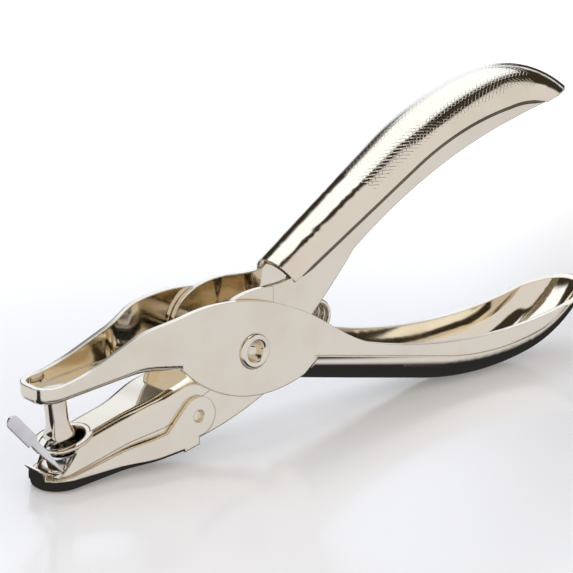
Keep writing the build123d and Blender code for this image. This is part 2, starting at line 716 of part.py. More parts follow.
with BuildPart() as tray_bends:
    with BuildSketch(SIDE):
        Polygon(
            (-tray_front, tray_floor(-tray_front)),
            (-TRAY_BACK, tray_floor(-TRAY_BACK)),
            (-TRAY_BACK, TALL),
            (-tray_front, TALL),
            align=None,
        )
    extrude(amount=HUB_HALF, both=True)
    extrude(plan_face(*tray_plan, TALL), amount=TALL, both=True, mode=Mode.INTERSECT)
    under = tray_bends.faces().filter_by(lambda face: face.normal_at().Z < -cos(ROOT))
    fillet(jaw_bends(under.edges()), TRAY_BEND)
    with BuildSketch(SIDE):
        with Locations((-TRAY_BACK, 0)):
            Rectangle(TALL, 2 * TALL, align=(Align.MIN, Align.CENTER))
    extrude(amount=HUB_WIDTH, both=True)

with BuildPart() as chip_tray:
    with BuildSketch(SIDE):
        wall_top_front = (-tray_front, tray_floor(-tray_front) + TRAY_WALL_FRONT)
        ear_turn = radians(TRAY_EAR_ANGLE)
        ear_back = TRAY_HINGE[0] - TRAY_EAR_RADIUS * cos(ear_turn)
        ear_rise = TRAY_HINGE[1] + TRAY_EAR_RADIUS * sin(ear_turn)
        with BuildLine():
            Polyline(
                (-tray_front, tray_floor(-tray_front)),
                wall_top_front,
                TRAY_WALL_BACK,
                (ear_back, ear_rise),
                TRAY_HINGE,
                (TRAY_HINGE[0], tray_floor(-TRAY_BACK) + TRAY_SHEET),
                (-TRAY_BACK, tray_floor(-TRAY_BACK)),
                (-tray_front, tray_floor(-tray_front)),
            )
        make_face()
        with Locations(TRAY_HINGE):
            Circle(TRAY_EAR_RADIUS)
    extrude(amount=HUB_HALF, both=True)
    extrude(plan_ring(*tray_plan, TALL, TRAY_SHEET), amount=TALL, both=True, mode=Mode.INTERSECT)
    add(tray_floor_plate.part)
    add(tray_bends.part, mode=Mode.INTERSECT)
    hinge = SIDE.from_local_coords(TRAY_HINGE)
    pip_base = INNER_HALF + TRAY_PLAY
    for facing in (1, -1):
        inward = Plane(origin=hinge, x_dir=(1, 0, 0), z_dir=(0, -facing, 0))
        with BuildSketch(inward.offset(-pip_base)):
            Circle(TRAY_PIP_D / 2)
        extrude(amount=TRAY_PIP_DEPTH)
        with BuildSketch(inward.offset(-pip_base - TRAY_SHEET)):
            Circle(TRAY_DIMPLE_D / 2)
        extrude(amount=TRAY_PIP_DEPTH, taper=TRAY_DIMPLE_TAPER, mode=Mode.SUBTRACT)
    with BuildSketch(SIDE):
        tab_foot = (-tray_front, tray_floor(-tray_front) + TRAY_SHEET + TRAY_BEND)
        tab_top = (-tray_front, tray_floor(-tray_front) + TRAY_TAB_HEIGHT)
        Polygon(
            tab_foot,
            tab_top,
            (tab_top[0] - TRAY_LIP, tab_top[1] + TRAY_LIP),
            (tab_top[0] - TRAY_LIP + TRAY_SHEET, tab_top[1] + TRAY_LIP),
            (tab_top[0] + TRAY_SHEET, tab_top[1]),
            (tab_foot[0] + TRAY_SHEET, tab_foot[1]),
            align=None,
        )
    extrude(amount=TRAY_TAB_WIDTH / 2, both=True)
    with BuildSketch(PLAN):
        for column in range(TRAY_HOLE_COLUMNS):
            across = 0 if column % 2 else TRAY_HOLE_SPREAD
            along = column * TRAY_HOLE_PITCH - TRAY_HOLE_FIRST
            with Locations((along, across), (along, -across)):
                Circle(TRAY_HOLE_D / 2)
    extrude(amount=-TALL, mode=Mode.SUBTRACT)
chip_tray.part.label = "chip_tray"

# Return spring: a torsion coil behind the hub whose legs press the two crowns apart


def leg_end(side, half, y):
    """Where a leg rests under a crown, a seat gap clear of the arch's inner face."""
    radius = crown_radius(half)
    depth = radius - sqrt((radius - SHEET) ** 2 - y**2) + SPRING_WIRE / 2 + SPRING_SEAT_GAP
    rise = ROOT_RISE + (SPRING_LEG_END - ROOT_START) * tan(ROOT)
    return from_handle(side, SPRING_LEG_END + depth * sin(ROOT), rise - depth * cos(ROOT))


def tangent_angle(point, turn):
    """Angle round the coil at which a straight leg to the point leaves it."""
    run, rise = point[0] - SPRING_CENTRE[0], point[1] - SPRING_CENTRE[1]
    return degrees(atan2(rise, run)) + turn * degrees(acos(SPRING_RADIUS / hypot(run, rise)))


def coil_point(angle, y):
    """A point on the coil's mean circle."""
    turned = radians(angle)
    x = SPRING_CENTRE[0] + SPRING_RADIUS * cos(turned)
    z = SPRING_CENTRE[1] + SPRING_RADIUS * sin(turned)
    return Vector(PIVOT.X + x, y, PIVOT.Z + z)


def coil_heading(angle, climb):
    """Direction of the wire at an angle, winding clockwise and climbing along Y."""
    turned = radians(angle)
    return Vector(sin(turned), climb, -cos(turned)).normalized()


def biarc_middle(start, start_heading, end, end_heading):
    """Where the two arcs of a biarc with equal arms meet."""
    span = end - start
    both = start_heading + end_heading
    a = 2 * (1 - start_heading.dot(end_heading))
    b = 2 * span.dot(both)
    c = -span.dot(span)
    arm = (sqrt(b * b - 4 * a * c) - b) / (2 * a)
    return (start + end + (start_heading - end_heading) * arm) * 0.5


coil_half = SPRING_PITCH * SPRING_TURNS / 2
lower_end = leg_end(-1, HUB_HALF, coil_half)
upper_end = leg_end(1, DIE_ROOT_HALF, coil_half)
first_angle = tangent_angle(lower_end, -1) + 360
last_angle = tangent_angle(upper_end, 1) - 360 * SPRING_TURNS
steps = round((first_angle - last_angle) / QUARTER)
angles = [first_angle + (last_angle - first_angle) * step / steps for step in range(steps + 1)]
rises = [-coil_half + 2 * coil_half * step / steps for step in range(steps + 1)]
climb = 2 * coil_half / (SPRING_RADIUS * radians(first_angle - last_angle))
knots = [coil_point(angle, rise) for angle, rise in zip(angles, rises)]
headings = [coil_heading(angle, climb) for angle in angles]
headings[0] = coil_heading(first_angle, 0)
headings[-1] = coil_heading(last_angle, 0)
leg_starts = (
    Vector(PIVOT.X + lower_end[0], -coil_half, PIVOT.Z + lower_end[1]),
    Vector(PIVOT.X + upper_end[0], coil_half, PIVOT.Z + upper_end[1]),
)
with BuildPart() as return_spring:
    with BuildLine() as wire:
        Line(leg_starts[0], knots[0])
        for step in range(steps):
            middle = biarc_middle(knots[step], headings[step], knots[step + 1], headings[step + 1])
            first = TangentArc(knots[step], middle, tangent=headings[step])
            TangentArc(middle, knots[step + 1], tangent=first % 1)
        Line(knots[-1], leg_starts[1])
    with BuildSketch(Plane(origin=leg_starts[0], z_dir=knots[0] - leg_starts[0])):
        Circle(SPRING_WIRE / 2)
    sweep(path=wire.line)
return_spring.part.label = "return_spring"
wire_path = wire.wires()[0]
samples = [wire_path @ (step / SPRING_SAMPLES) for step in range(SPRING_SAMPLES + 1)]
apart = round(3 * SPRING_WIRE * SPRING_SAMPLES / wire_path.length)
least = min((a - b).length for i, a in enumerate(samples) for b in samples[i + apart :])
print("spring's least gap to itself", round(least - SPRING_WIRE, 3), "mm")

os.makedirs("parts", exist_ok=True)
for piece in (
    punch_lever,
    die_lever,
    pivot_rivet,
    pivot_sleeve,
    punch_pin,
    die_bush,
    stripper_clip,
    chip_tray,
    return_spring,
):
    export_step(piece.part, f"parts/{piece.part.label}.step")
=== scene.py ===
import math

import bpy
import numpy as np
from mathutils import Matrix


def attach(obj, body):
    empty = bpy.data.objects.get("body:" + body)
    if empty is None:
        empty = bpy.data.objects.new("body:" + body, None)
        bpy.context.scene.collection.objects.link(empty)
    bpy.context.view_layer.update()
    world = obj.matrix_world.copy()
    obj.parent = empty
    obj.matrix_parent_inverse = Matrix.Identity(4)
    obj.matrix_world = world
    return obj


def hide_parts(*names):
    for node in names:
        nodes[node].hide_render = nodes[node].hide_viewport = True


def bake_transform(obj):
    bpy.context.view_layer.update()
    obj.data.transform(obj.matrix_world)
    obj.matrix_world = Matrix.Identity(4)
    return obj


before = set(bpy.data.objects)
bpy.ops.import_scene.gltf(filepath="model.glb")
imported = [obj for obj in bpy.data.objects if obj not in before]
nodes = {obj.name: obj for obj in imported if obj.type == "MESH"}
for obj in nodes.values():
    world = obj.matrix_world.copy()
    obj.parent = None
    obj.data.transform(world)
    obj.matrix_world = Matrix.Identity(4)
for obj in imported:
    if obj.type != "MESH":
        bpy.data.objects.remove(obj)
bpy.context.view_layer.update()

# Die lever: the lower jaw, the inner hub plates and the upper handle in one stamped and
# folded steel sheet, polished and then plated with bright nickel that has a warm cast.
# Its arched back is rolled with a fine diamond knurl from a third along to near the tip.
NICKEL = {
    "clean": (0.80, 0.71, 0.56),
    "dull": (0.77, 0.67, 0.515),
    "polish": 0.05,
    "haze": 0.05,
    "wave": 0.022,
}
SMUDGE_SCALE = 95.0
SMUDGE_LIMITS = (0.42, 0.72)
GRAIN_SCALE = 2600.0
GRAIN_SHARE = 0.5
WAVE_SCALE = 260.0
WAVE_DEPTH = 0.1e-3
TUMBLED_EDGE = 0.45e-3
SMOOTH_BEND = math.radians(28.0)


def math_node(tree, kind, *values):
    """A Math node in a node tree, fed by numbers or by the sockets of other nodes."""
    node = tree.nodes.new("ShaderNodeMath")
    node.operation = kind
    for socket, value in zip(node.inputs, values):
        if isinstance(value, (int, float)):
            socket.default_value = value
        else:
            tree.links.new(value, socket)
    return node.outputs[0]


def smooth_step(tree, value, start, stop, bottom=0.0, top=1.0):
    """The cubic 3t2 - 2t3 from bottom to top, as a value goes from start to stop."""
    node = tree.nodes.new("ShaderNodeMapRange")
    node.interpolation_type = "SMOOTHSTEP"
    node.inputs["From Min"].default_value = start
    node.inputs["From Max"].default_value = stop
    node.inputs["To Min"].default_value = bottom
    node.inputs["To Max"].default_value = top
    tree.links.new(value, node.inputs["Value"])
    return node.outputs["Result"]


def colour_mix(tree, factor, start, end):
    """A colour between two others, each of them a value or the socket of another node."""
    node = tree.nodes.new("ShaderNodeMix")
    node.data_type = "RGBA"
    tree.links.new(factor, node.inputs["Factor"])
    for name, colour in (("A", start), ("B", end)):
        if isinstance(colour, tuple):
            node.inputs[name].default_value = (*colour, 1.0)
        else:
            tree.links.new(colour, node.inputs[name])
    return node.outputs["Result"]


def noise(tree, vector, scale, detail, roughness=0.5):
    """A Noise Texture's value at the given coordinates."""
    node = tree.nodes.new("ShaderNodeTexNoise")
    node.inputs["Scale"].default_value = scale
    node.inputs["Detail"].default_value = detail
    node.inputs["Roughness"].default_value = roughness
    tree.links.new(vector, node.inputs["Vector"])
    return node.outputs["Fac"]


def plating_marks():
    """Node group for plated steel: soft smudges shift the colour and the polish, and a
    slight waviness of the sheet bends the reflections."""
    group = bpy.data.node_groups.new("plating_marks", "ShaderNodeTree")
    sockets = (
        ("Vector", "INPUT", "NodeSocketVector"),
        ("Clean", "INPUT", "NodeSocketColor"),
        ("Dull", "INPUT", "NodeSocketColor"),
        ("Polish", "INPUT", "NodeSocketFloat"),
        ("Haze", "INPUT", "NodeSocketFloat"),
        ("Color", "OUTPUT", "NodeSocketColor"),
        ("Roughness", "OUTPUT", "NodeSocketFloat"),
        ("Height", "OUTPUT", "NodeSocketFloat"),
    )
    for name, way, kind in sockets:
        group.interface.new_socket(name, in_out=way, socket_type=kind)
    entry = group.nodes.new("NodeGroupInput").outputs
    leave = group.nodes.new("NodeGroupOutput").inputs
    smudge = noise(group, entry["Vector"], SMUDGE_SCALE, detail=4.0, roughness=0.55)
    smudge = smooth_step(group, smudge, *SMUDGE_LIMITS)
    tint = colour_mix(group, smudge, entry["Clean"], entry["Dull"])
    grain = noise(group, entry["Vector"], GRAIN_SCALE, detail=2.0)
    soil = math_node(group, "MULTIPLY_ADD", grain, GRAIN_SHARE, smudge)
    rough = math_node(group, "MULTIPLY_ADD", soil, entry["Haze"], entry["Polish"])
    wave = noise(group, entry["Vector"], WAVE_SCALE, detail=1.0)
    group.links.new(tint, leave["Color"])
    group.links.new(rough, leave["Roughness"])
    group.links.new(wave, leave["Height"])
    return group


MARKS = plating_marks()


def plated(name, clean, dull, polish, haze, wave, edge=0.0):
    """Metal whose colour, polish and waviness come from the plating_marks group. Cut
    edges that were tumbled shade as if rounded to the given radius."""
    material = bpy.data.materials.new(name)
    material.use_nodes = True
    tree = material.node_tree
    shader = tree.nodes["Principled BSDF"]
    shader.inputs["Metallic"].default_value = 1.0
    place = tree.nodes.new("ShaderNodeTexCoord")
    marks = tree.nodes.new("ShaderNodeGroup")
    marks.node_tree = MARKS
    marks.inputs["Clean"].default_value = (*clean, 1.0)
    marks.inputs["Dull"].default_value = (*dull, 1.0)
    marks.inputs["Polish"].default_value = polish
    marks.inputs["Haze"].default_value = haze
    bump = tree.nodes.new("ShaderNodeBump")
    bump.inputs["Strength"].default_value = wave
    bump.inputs["Distance"].default_value = WAVE_DEPTH
    if edge:
        rounded = tree.nodes.new("ShaderNodeBevel")
        rounded.samples = 6
        rounded.inputs["Radius"].default_value = edge
        tree.links.new(rounded.outputs["Normal"], bump.inputs["Normal"])
    tree.links.new(place.outputs["Object"], marks.inputs["Vector"])
    tree.links.new(marks.outputs["Color"], shader.inputs["Base Color"])
    tree.links.new(marks.outputs["Roughness"], shader.inputs["Roughness"])
    tree.links.new(marks.outputs["Height"], bump.inputs["Height"])
    tree.links.new(bump.outputs["Normal"], shader.inputs["Normal"])
    return material


def dress(node, material):
    """Gives a CAD piece its finish, and shades its bends smooth and its cut edges sharp."""
    piece = nodes[node]
    piece.data.materials.clear()
    piece.data.materials.append(material)
    piece.data.polygons.foreach_set("use_smooth", np.ones(len(piece.data.polygons), bool))
    weld = piece.modifiers.new("weld", "WELD")
    weld.merge_threshold = 1e-6
    split = piece.modifiers.new("split", "EDGE_SPLIT")
    split.split_angle = SMOOTH_BEND
    normals = piece.modifiers.new("normals", "WEIGHTED_NORMAL")
    normals.keep_sharp = True


nickel = plated("warm_nickel", **NICKEL, edge=TUMBLED_EDGE)
dress("die_lever", nickel)

UPPER = 1
PIVOT = np.array((-22.7738, 0.0, 19.7134)) * 1e-3
BISECTOR = math.radians(10.9)
ROOT_ANGLE = math.radians(23.0)
ROOT_START = 12.5e-3
CROWN_TOP = (75.1e-3, 33.2e-3)
GRIP_RADIUS = 72.8e-3
TIP_RADIUS = 31.4e-3
DIE_ROOT_HALF = 5.45e-3
GRIP_HALF = 8.65e-3
CROWN_PROUD = 0.5e-3
CROWN_HALF_ANGLE = math.radians(73.0)
GRIP_START = (
    CROWN_TOP[0] - GRIP_RADIUS * math.sin(ROOT_ANGLE),
    CROWN_TOP[1] - GRIP_RADIUS * (1 - math.cos(ROOT_ANGLE)),
)
ROOT_RISE = GRIP_START[1] - (GRIP_START[0] - ROOT_START) * math.tan(ROOT_ANGLE)
ROOT_RUN = (GRIP_START[0] - ROOT_START) / math.cos(ROOT_ANGLE)
GRIP_RUN = GRIP_RADIUS * ROOT_ANGLE


def back_line(run):
    """The handle's back in side view, at a distance along it: a straight root, then two arcs
    that turn over at the top of the grip. Gives its place from the pivot, and its slope."""
    turn = np.where(
        run < ROOT_RUN,
        ROOT_ANGLE,
        np.where(
            run < ROOT_RUN + GRIP_RUN,
            ROOT_ANGLE - (run - ROOT_RUN) / GRIP_RADIUS,
            -(run - ROOT_RUN - GRIP_RUN) / TIP_RADIUS,
        ),
    )
    bend = np.where(turn > 0, GRIP_RADIUS, TIP_RADIUS)
    root_along = ROOT_START + run * math.cos(ROOT_ANGLE)
    root_away = ROOT_RISE + run * math.sin(ROOT_ANGLE)
    along = np.where(run < ROOT_RUN, root_along, CROWN_TOP[0] - bend * np.sin(turn))
    away = np.where(run < ROOT_RUN, root_away, CROWN_TOP[1] - bend * (1 - np.cos(turn)))
    return along, away, turn


def arch_radius(along, root_half):
    """The arch's radius, which grows with the handle's width from its root to its top."""
    share = np.minimum((along - ROOT_START) / (CROWN_TOP[0] - ROOT_START), 1.0)
    half = root_half + (GRIP_HALF - root_half) * share
    return (half + CROWN_PROUD) / math.sin(CROWN_HALF_ANGLE)


def crown(side, root_half, run, across, lift):
    """The handle's arched back. run is the distance along the back and across the distance
    round the arch. Gives points lifted off the arch, and the arch's normals there."""
    along, away, turn = back_line(run)
    radius = arch_radius(along, root_half)
    angle = across / radius
    drop = (radius + lift) * np.cos(angle) - radius
    along = along - np.sin(turn) * drop
    away = away + np.cos(turn) * drop
    tilt = math.cos(BISECTOR), math.sin(BISECTOR)
    points = np.stack((
        PIVOT[0] + along * tilt[0] - side * away * tilt[1],
        (radius + lift) * np.sin(angle),
        PIVOT[2] + along * tilt[1] + side * away * tilt[0],
    ), -1)
    out_along = -np.sin(turn) * np.cos(angle)
    out_away = np.cos(turn) * np.cos(angle)
    normals = np.stack((
        out_along * tilt[0] - side * out_away * tilt[1],
        np.sin(angle),
        out_along * tilt[1] + side * out_away * tilt[0],
    ), -1)
    return points, normals


def new_piece(name, points, faces, material):
    """A smooth mesh object with one finish, from an array of points and a list of faces."""
    mesh = bpy.data.meshes.new(name)
    mesh.from_pydata(points.reshape(-1, 3).tolist(), [], faces)
    mesh.polygons.foreach_set("use_smooth", np.ones(len(mesh.polygons), bool))
    mesh.materials.append(material)
    piece = bpy.data.objects.new(name, mesh)
    bpy.context.scene.collection.objects.link(piece)
    return piece


KNURL_RUN = (26e-3, 78e-3)
KNURL_REACH = 9.2e-3
STUD_LENGTH = 1.12e-3
STUD_WIDTH = 1.0e-3
STUD_BASE = (0.99, -0.003e-3)
STUD_TOP = (0.72, 0.005e-3)
STUD_CORNERS = np.array(((1, 0), (0, 1), (-1, 0), (0, -1))) * (STUD_LENGTH / 2, STUD_WIDTH / 2)
rolled_nickel = plated("rolled_nickel", **NICKEL)


def knurl(name, side, root_half):
    """Diamond studs in staggered rows over the crown: each has a base and a smaller, raised
    top with the crown's own normals, joined by four slopes and closed underneath."""
    first, last = KNURL_RUN
    outermost = round(2 * KNURL_REACH / STUD_WIDTH)
    rows = np.arange(-outermost, outermost + 1)
    columns = np.arange(round((last - first) / STUD_LENGTH))
    row, column = (grid.ravel() for grid in np.meshgrid(rows, columns, indexing="ij"))
    run = first + (column + 0.5 * (row % 2)) * STUD_LENGTH
    across = row * STUD_WIDTH / 2
    rings = []
    for size, lift in (STUD_BASE, STUD_TOP):
        place = np.stack((run, across), -1)[:, None] + STUD_CORNERS * size
        rings.append(crown(side, root_half, place[..., 0], place[..., 1], lift))
    points = np.concatenate([ring[0] for ring in rings], 1)
    top_normals = rings[1][1]
    top = (4, 5, 6, 7)
    slopes = ((0, 1, 5, 4), (1, 2, 6, 5), (2, 3, 7, 6), (3, 0, 4, 7))
    bottom = (3, 2, 1, 0)
    quads = np.array((top, *slopes, bottom))
    if side != UPPER:
        quads = quads[:, ::-1]
    stud_start = np.arange(len(points)) * points.shape[1]
    faces = (stud_start[:, None, None] + quads).reshape(-1, 4)
    piece = new_piece(name, points, faces.tolist(), rolled_nickel)
    one, two, three, four = (points[:, quads[:, corner]] for corner in range(4))
    flat = np.cross(three - one, four - two)
    flat /= np.linalg.norm(flat, axis=-1, keepdims=True)
    loops = np.repeat(flat[:, :, None], 4, 2)
    loops[:, 0] = top_normals[:, quads[0] - len(STUD_CORNERS)]
    piece.data.normals_split_custom_set(loops.reshape(-1, 3).tolist())
    return piece


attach(knurl("upper_knurl", UPPER, DIE_ROOT_HALF), "die_lever")

# The fold under the lever's back overhangs the flat walls and mirrors the dark below it. Its
# bead is painted dark all over: a painted reflection of that shade.
BEAD_RUN = (2e-3, 79e-3)
BEAD_RADIUS = 0.40e-3
BEAD_TAPER = 3e-3
BEAD_POINT = 0.002
BEAD_OUT = 0.2e-3
BEAD_LIFT = -0.25e-3
BEAD_STEPS = 220
BEAD_SIDES = 12
# Painted reflection: these dark colours stand in for the shade that the fold mirrors.
painted_fold_shade = plated(
    "painted_fold_shade",
    clean=(0.17, 0.135, 0.09),
    dull=(0.12, 0.095, 0.065),
    polish=0.12,
    haze=0.08,
    wave=0.02,
)


def grid_faces(rows, columns, wrap=False):
    """Quads between the neighbours of a grid, whose columns may close on themselves."""
    i, j = np.meshgrid(np.arange(rows - 1), np.arange(columns if wrap else columns - 1), indexing="ij")
    k = (j + 1) % columns
    quads = np.stack((i * columns + j, i * columns + k, (i + 1) * columns + k, (i + 1) * columns + j), -1)
    return quads.reshape(-1, 4)


def painted_shade_bead(name, side, root_half):
    """A thin round bead along both long edges of the crown: a circle carried along the
    crown's edge, drawn nearly to a point at its ends. Its dark colour is painted shade."""
    first, last = BEAD_RUN
    run, angle = np.meshgrid(
        np.linspace(first, last, BEAD_STEPS),
        np.linspace(0, 2 * math.pi, BEAD_SIDES, endpoint=False),
        indexing="ij",
    )
    from_end = np.minimum(run - first, last - run)
    radius = BEAD_RADIUS * np.sqrt(np.clip(from_end / BEAD_TAPER, BEAD_POINT, 1))
    edge_reach = arch_radius(back_line(run)[0], root_half) * CROWN_HALF_ANGLE
    points = []
    for edge in (-1, 1):
        middle, outward = crown(side, root_half, run, edge * (edge_reach + BEAD_OUT), BEAD_LIFT)
        onward = np.gradient(middle, axis=0)
        onward /= np.linalg.norm(onward, axis=-1, keepdims=True)
        beside = np.cross(onward, outward)
        circle = np.cos(angle)[..., None] * outward + np.sin(angle)[..., None] * beside
        points.append(middle + radius[..., None] * circle)
    quads = np.roll(grid_faces(BEAD_STEPS, BEAD_SIDES, wrap=True)[:, ::-1], 1, axis=1)
    faces = np.concatenate((quads, quads + BEAD_STEPS * BEAD_SIDES))
    piece = new_piece(name, np.concatenate(points), faces.tolist(), painted_fold_shade)
    return piece


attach(painted_shade_bead("upper_edge", UPPER, DIE_ROOT_HALF), "die_lever")

# Die bush: a turned and hardened steel collar pressed into the lower jaw. Its ground rim
# is the cutting edge that the pin goes into.
tool_steel = plated(
    "ground_tool_steel",
    clean=(0.74, 0.73, 0.71),
    dull=(0.62, 0.60, 0.57),
    polish=0.12,
    haze=0.10,
    wave=0.05,
)
dress("die_bush", tool_steel)

# Stripper: a plated sheet folded down over the lower jaw's walls, that rises to the throat.
# Its eye pulls the paper off the pin, and the paper goes in between the eye and the die. A
# flat ear of tumbled spring steel stands up in front of the jaws.
JAW_HALF = np.array((5.0, 6.65)) * 1e-3
JAW_FLARE = np.array((-30.0, -20.0)) * 1e-3
JAW_RIM = (-45.0e-3, -16.2e-3)
JAW_RIM_SLOPE = 0.2493
NOSE_RADIUS = 4.0e-3
NOSE_START = -41.0e-3
STRIPPER_SHEET = 0.9e-3
STRIPPER_BEND = 2.0e-3
STRIPPER_EDGE = 0.2e-3
STRIPPER_PROUD = 0.03e-3
STRIPPER_SLOPE = 0.26
STRIPPER_BACK = -10.0e-3
STRIPPER_STEPS = 90
THROAT_STEP = (-27.0e-3, -18.0e-3)
THROAT_STEP_RISE = 0.5e-3
CURL_START = -18.0e-3
CURL_LENGTH = 4.2e-3
CURL_RISE = 0.35e-3
FOLD_BELOW_RIM = 1.2e-3
FOLD_RUN_OUT = (-18.0e-3, -10.0e-3)
FOLD_RUN_OUT_RISE = 2.4e-3
FOLD_FORWARD = 3.6e-3
FOLD_WALL_STEPS = 14
FOLD_BEND_STEPS = 12
FOLD_TOP_STEPS = 33
EYE_CENTRE = np.array((-40.45, -10.6)) * 1e-3
EYE_BORE = 4.4e-3
EYE_OUTER = 6.0e-3
EYE_SHEET = 0.6e-3
EYE_NOTCH = 5.2e-3
EYE_STEPS = 120
DIE_TILT = math.radians(14.0)
EAR_FOOT = np.array((-43.4, -4.25, -15.55)) * 1e-3
EAR_LENGTH = 17.2e-3
EAR_LEAN = math.radians(41.0)
EAR_STEPS = 120
EAR_FOOT_HALF = 0.25e-3
EAR_WIDENS = (0.0, 7.0e-3)
EAR_WIDENS_BY = 0.5e-3
EAR_HEAD_STEP = (9.3e-3, 9.7e-3)
EAR_HEAD_STEP_BY = 0.6e-3
EAR_ROUND_START = EAR_LENGTH - 1.33e-3
EAR_ROUND = 1.34e-3
EAR_POINT = 1e-4
EAR_HALF_SHEET = 0.25e-3
SECTION_STEPS = 24
SECTION_POWER = 0.4


def ease(value, low, high):
    """0 below low, 1 above high, and the cubic 3t2 - 2t3 between them."""
    share = np.clip((value - low) / (high - low), 0.0, 1.0)
    return share * share * (3 - 2 * share)


def squared(wave):
    """A sine or cosine flattened by a power, which makes an oval section nearly square."""
    return np.sign(wave) * np.abs(wave) ** SECTION_POWER


def sheet_piece(name, points, faces, material):
    """A piece of the stripper from points measured from the pivot, carried by the die lever."""
    piece = new_piece(name, points + PIVOT, faces.tolist(), material)
    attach(piece, "die_lever")
    return piece


def stripper_height(x):
    """A straight slope over the jaw, with a step and a last upward curve at the throat."""
    slope = EYE_CENTRE[1] + (x - EYE_CENTRE[0]) * STRIPPER_SLOPE
    curl = np.maximum(x - CURL_START, 0) / CURL_LENGTH
    return slope + THROAT_STEP_RISE * ease(x, *THROAT_STEP) + CURL_RISE * curl**2


def wall_foot(x):
    """Height at which the folded sides end: just below the straight rim of the lever's own
    wall, and rising above it at the throat."""
    rim = JAW_RIM[1] + (x - JAW_RIM[0]) * JAW_RIM_SLOPE
    return rim - FOLD_BELOW_RIM + FOLD_RUN_OUT_RISE * ease(x, *FOLD_RUN_OUT)


def stripper_points(rows):
    """Across the sheet: a side wall, a quarter bend, the flat top, and the same again. Along
    it: from a round notch at the eye, which the bends carry on, to the throat."""
    wall = np.linspace(1, 0, FOLD_WALL_STEPS, endpoint=False)
    bend = np.linspace(math.pi / 2, 0, FOLD_BEND_STEPS, endpoint=False)
    upright = np.full(FOLD_WALL_STEPS, math.pi / 2)
    one_side = np.ones(FOLD_WALL_STEPS + FOLD_BEND_STEPS)
    fall = np.concatenate((wall, np.zeros(2 * FOLD_BEND_STEPS + FOLD_TOP_STEPS), wall[::-1]))
    turn = np.concatenate((upright, bend, np.zeros(FOLD_TOP_STEPS), bend[::-1], upright))
    span = np.concatenate((one_side, np.linspace(1, -1, FOLD_TOP_STEPS), -one_side))
    spread = span * (JAW_HALF[0] - STRIPPER_BEND) + np.sign(span) * STRIPPER_BEND * turn
    notch = np.sqrt(np.maximum(EYE_NOTCH**2 - spread**2, 0))
    front = EYE_CENTRE[0] + notch - FOLD_FORWARD * fall
    x = front + (STRIPPER_BACK - front) * np.linspace(0, 1, rows)[:, None]
    half = STRIPPER_PROUD + JAW_HALF[0] + (JAW_HALF[1] - JAW_HALF[0]) * ease(x, *JAW_FLARE)
    half = half - NOSE_RADIUS + np.sqrt(NOSE_RADIUS**2 - np.minimum(x - NOSE_START, 0) ** 2)
    y = span * (half - STRIPPER_BEND) + np.sign(span) * STRIPPER_BEND * np.sin(turn)
    top = stripper_height(x) - STRIPPER_BEND * (1 - np.cos(turn))
    return np.stack((x, y, top + (wall_foot(x) - top) * fall), -1)


def ring_points(bore, outer, thick, around):
    """A flat ring with softly rounded edges: a squared oval carried round the die's axis."""
    turn, section = np.meshgrid(
        np.linspace(0, 2 * math.pi, around, endpoint=False),
        np.linspace(0, 2 * math.pi, SECTION_STEPS, endpoint=False),
        indexing="ij",
    )
    radius = (bore + outer) / 2 + (outer - bore) / 2 * squared(np.cos(section))
    rise = thick / 2 * squared(np.sin(section)) - thick / 2
    along = radius * np.cos(turn)
    return np.stack((
        EYE_CENTRE[0] + along * math.cos(DIE_TILT) - rise * math.sin(DIE_TILT),
        radius * np.sin(turn),
        EYE_CENTRE[1] + along * math.sin(DIE_TILT) + rise * math.cos(DIE_TILT),
    ), -1)


def ear_points(rows):
    """A leaning blade with a squared oval section: narrow at its foot, with a wider round
    head that starts at a small step."""
    along, section = np.meshgrid(
        EAR_LENGTH * np.linspace(0, 1, rows),
        np.linspace(0, 2 * math.pi, SECTION_STEPS, endpoint=False),
        indexing="ij",
    )
    half = EAR_FOOT_HALF + EAR_WIDENS_BY * ease(along, *EAR_WIDENS)
    half = half + EAR_HEAD_STEP_BY * ease(along, *EAR_HEAD_STEP)
    over_head = np.maximum(along - EAR_ROUND_START, 0) / EAR_ROUND
    half = half * np.sqrt(np.clip(1 - over_head**2, EAR_POINT, 1))
    wide = half * squared(np.cos(section))
    thick = EAR_HALF_SHEET * squared(np.sin(section))
    return EAR_FOOT + np.stack((
        -along * math.sin(EAR_LEAN) + wide * math.cos(EAR_LEAN),
        thick,
        along * math.cos(EAR_LEAN) + wide * math.sin(EAR_LEAN),
    ), -1)


cover = stripper_points(STRIPPER_STEPS)
stripper = sheet_piece("stripper_plate", cover, grid_faces(*cover.shape[:2]), nickel)
sheet = stripper.modifiers.new("wall", "SOLIDIFY")
sheet.thickness = STRIPPER_SHEET
sheet.offset = -1.0
rounded = stripper.modifiers.new("rounded", "BEVEL")
rounded.width = STRIPPER_EDGE
rounded.segments = 3
rounded.limit_method = "ANGLE"
rounded.angle_limit = math.radians(50.0)
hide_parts("stripper_clip")
loop = ring_points(EYE_BORE, EYE_OUTER, EYE_SHEET, EYE_STEPS)
loop_faces = grid_faces(EYE_STEPS + 1, SECTION_STEPS, wrap=True) % (EYE_STEPS * SECTION_STEPS)
eye = sheet_piece("stripper_eye", loop, loop_faces, nickel)
clip_steel = plated(
    "tumbled_spring_steel",
    clean=(0.80, 0.76, 0.71),
    dull=(0.72, 0.68, 0.63),
    polish=0.30,
    haze=0.12,
    wave=0.05,
)
blade = ear_points(EAR_STEPS)
ear = sheet_piece("front_ear", blade, grid_faces(EAR_STEPS, SECTION_STEPS, wrap=True), clip_steel)

# Chip tray: a thinner stamped cover, nickel plated as the levers are, that snaps on to the
# lower jaw with a dimple in each ear and swings down to be emptied. Its lower edge is rolled
# under; the turned normals there mirror the table's painted shade as a dark band.
ROLL_RUN = (-76e-3, -45e-3)
ROLL_RISE = (2.30e-3, 2.75e-3)
ROLL_SOFT = 0.25e-3
ROLL_TURN = 0.45
tray_nickel = plated("tray_nickel", **NICKEL, edge=TUMBLED_EDGE)


